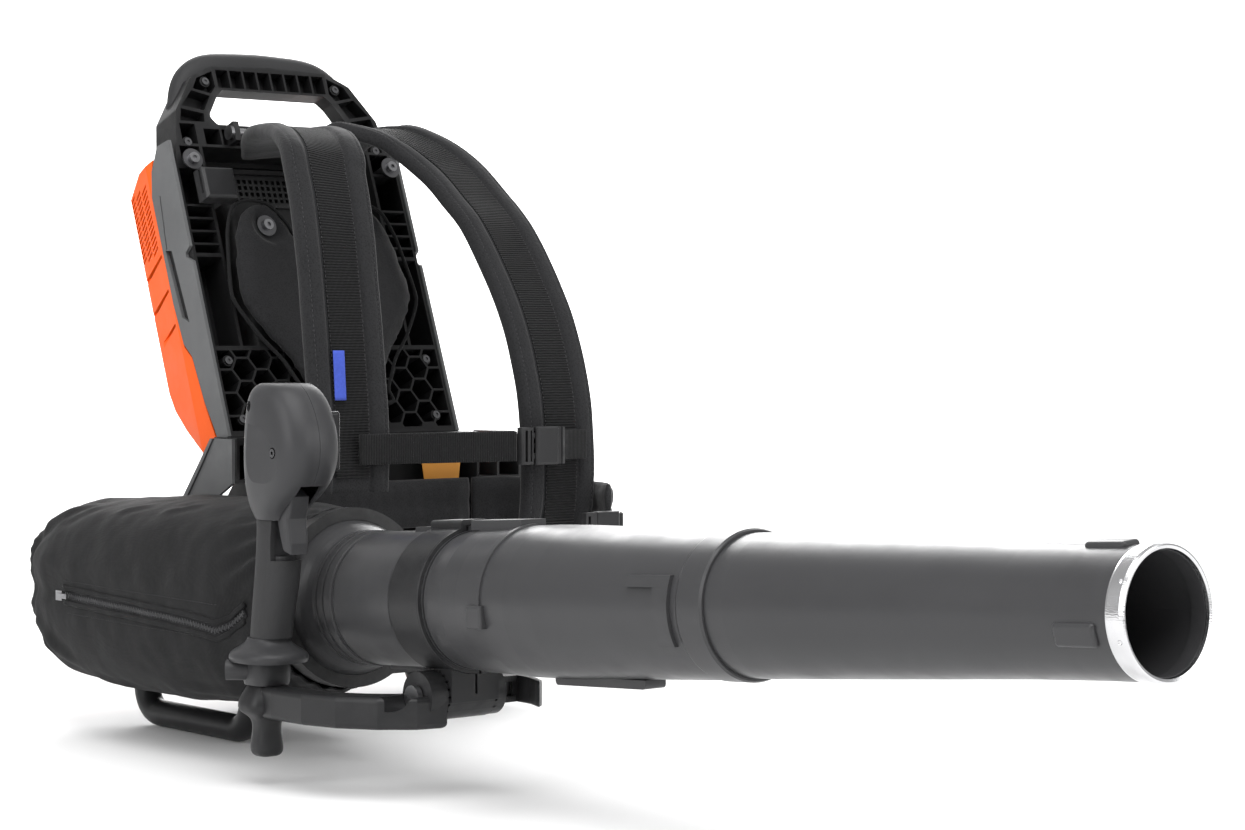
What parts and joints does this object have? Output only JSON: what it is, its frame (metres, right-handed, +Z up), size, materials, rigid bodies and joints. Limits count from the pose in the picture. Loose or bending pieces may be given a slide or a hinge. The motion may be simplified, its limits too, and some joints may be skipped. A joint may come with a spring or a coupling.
{
  "type": "backpack leaf blower",
  "caption": "Battery backpack leaf blower: padded harness, leaning back frame, rear cover, low fan with fabric intake bag and a ball-jointed blower tube with a control handle.",
  "frame": {"origin": "centre of the footprint of the whole machine's box, on the floor it stands on", "axes": "+Z up, +X to the wearer's left, -Y the way the wearer faces and the tube points"},
  "size_m": [0.4698, 1.2362, 0.5845],
  "materials": {
    "frame_plastic": "fine moulded texture",
    "cover_orange": "satin moulded",
    "panel_grey": "fine texture",
    "housing_plastic": "fine moulded texture",
    "tube_plastic": "satin",
    "clamp_plastic": "fine texture",
    "grip_rubber": "fine knurl",
    "key_rubber": "smooth",
    "trigger_plastic": "satin",
    "screw_steel": "zinc plated, darkened",
    "bolt_steel": "zinc plated",
    "ring_metal": "polished",
    "board": "solder mask",
    "sink": "extruded",
    "copper": "plated contact",
    "battery_case": "fine texture",
    "motor_steel": "laminations",
    "bearing_steel": "ground",
    "bag_fabric": "fine plain weave, coated",
    "strap_fabric": "spacer mesh and foam",
    "pad_fabric": "spacer mesh over foam",
    "webbing": "ribbed webbing",
    "buckle_plastic": "satin",
    "skid_coat": "powder coat"
  },
  "bodies": {
    "backpack": {"back_frame": "frame_plastic", "side_panel_left": "panel_grey", "side_panel_right": "panel_grey", "carry_grip": "grip_rubber", "rear_cover": "cover_orange", "rear_centre_panel": "panel_grey", "battery_housing": "housing_plastic", "battery_terminals": "copper", "controller_board": "board", "heat_sink": "sink", "frame_screws": "screw_steel", "strap_bar": "bolt_steel", "harness_bolts": "bolt_steel", "harness_washers": "bolt_steel", "base_shell": "housing_plastic", "base_flank_panel": "panel_grey", "skid_bars": "skid_coat", "fan_cradle": "housing_plastic", "fan_housing_front": "housing_plastic", "fan_housing_rear": "housing_plastic", "diffuser_and_motor_can": "housing_plastic", "motor_stator": "motor_steel", "motor_bearings": "bearing_steel", "intake_grille": "housing_plastic", "intake_bag": "bag_fabric", "shoulder_strap_right": "strap_fabric", "shoulder_strap_left": "strap_fabric", "back_pad": "pad_fabric", "hip_belt": "pad_fabric", "buckle_sockets": "buckle_plastic", "buckle_tongues": "buckle_plastic", "webbing_straps": "webbing", "strap_adjusters": "buckle_plastic"},
    "fan_rotor": {"impeller": "clamp_plastic", "motor_rotor": "motor_steel", "motor_shaft": "bearing_steel"},
    "ball": {"ball_collar": "tube_plastic"},
    "front_tube": {"control_tube": "tube_plastic"},
    "middle_tube": {"mid_tube": "tube_plastic"},
    "nozzle": {"nozzle_tube": "tube_plastic", "nozzle_ring": "ring_metal"},
    "clamp": {"clamp_ring": "clamp_plastic", "clamp_bolt": "bolt_steel", "pressure_disc": "clamp_plastic"},
    "lever": {"clamp_lever": "clamp_plastic"},
    "control_handle": {"handle_arm": "clamp_plastic", "handle_core": "clamp_plastic", "grip_sleeve": "grip_rubber", "handle_shell_outer": "clamp_plastic", "handle_shell_inner": "clamp_plastic", "handle_screws": "screw_steel", "keypad_bezel": "trigger_plastic", "trigger_pin": "screw_steel"},
    "throttle": {"trigger": "trigger_plastic", "trigger_spring": "bearing_steel"},
    "power_button": {"power_key": "key_rubber"},
    "boost_button": {"boost_key": "key_rubber"},
    "battery": {"battery_pack": "battery_case"},
    "latch": {"battery_latch": "cover_orange"},
    "zip_pull": {"zip_slider": "ring_metal"}
  },
  "joints": [
    {"name": "impeller_spin", "type": "hinge", "parent": "backpack", "child": "fan_rotor", "pos_m": [-0.12107, 0.26448, 0.12587], "axis": [0, -0.9981, 0.0609], "continuous": true},
    {"name": "tube_pitch", "type": "hinge", "parent": "backpack", "child": "ball", "pos_m": [-0.12107, 0.17465, 0.13135], "axis": [-1, 0, 0], "range_deg": [-5, 14]},
    {"name": "tube_roll", "type": "hinge", "parent": "ball", "child": "front_tube", "pos_m": [-0.12107, 0.11476, 0.135], "axis": [0, -0.9981, 0.0609], "range_deg": [-12, 12]},
    {"name": "middle_twist", "type": "hinge", "parent": "front_tube", "child": "middle_tube", "pos_m": [-0.12107, -0.00501, 0.1423], "axis": [0, -0.9981, 0.0609], "range_deg": [0, 15]},
    {"name": "nozzle_twist", "type": "hinge", "parent": "middle_tube", "child": "nozzle", "pos_m": [-0.12107, -0.2845, 0.15935], "axis": [0, -0.9981, 0.0609], "range_deg": [-20, 20]},
    {"name": "clamp_slide", "type": "slide", "parent": "front_tube", "child": "clamp", "axis": [0, 0.9981, -0.0609], "range_m": [0, 0.005]},
    {"name": "handle_tilt", "type": "hinge", "parent": "clamp", "child": "control_handle", "pos_m": [-0.16107, 0.02876, 0.073], "axis": [-1, 0, 0], "range_deg": [-1, 10]},
    {"name": "clamp_release", "type": "hinge", "parent": "clamp", "child": "lever", "pos_m": [-0.08307, 0.02876, 0.073], "axis": [0, 0, 1], "range_deg": [0, 55]},
    {"name": "throttle_squeeze", "type": "hinge", "parent": "control_handle", "child": "throttle", "pos_m": [-0.20607, 0.11876, 0.2135], "axis": [1, 0, 0], "range_deg": [0, 8], "stiffness_Nm_per_rad": 0.15, "springref_deg": -5.73},
    {"name": "power_press", "type": "slide", "parent": "control_handle", "child": "power_button", "axis": [-1, 0, 0], "range_m": [0, 0.0015], "stiffness_N_per_m": 800, "springref_m": -0.0005},
    {"name": "boost_press", "type": "slide", "parent": "control_handle", "child": "boost_button", "axis": [-1, 0, 0], "range_m": [0, 0.0015], "stiffness_N_per_m": 800, "springref_m": -0.0005},
    {"name": "battery_slide", "type": "slide", "parent": "backpack", "child": "battery", "axis": [0, 0.3535, 0.9354], "range_m": [0, 0.165]},
    {"name": "latch_press", "type": "slide", "parent": "battery", "child": "latch", "axis": [0, -0.9354, 0.3535], "range_m": [0, 0.0012], "stiffness_N_per_m": 800, "springref_m": -0.0005},
    {"name": "zip_pull_slide", "type": "slide", "parent": "backpack", "child": "zip_pull", "axis": [0, -1, 0], "range_m": [0, 0.2]}
  ]
}
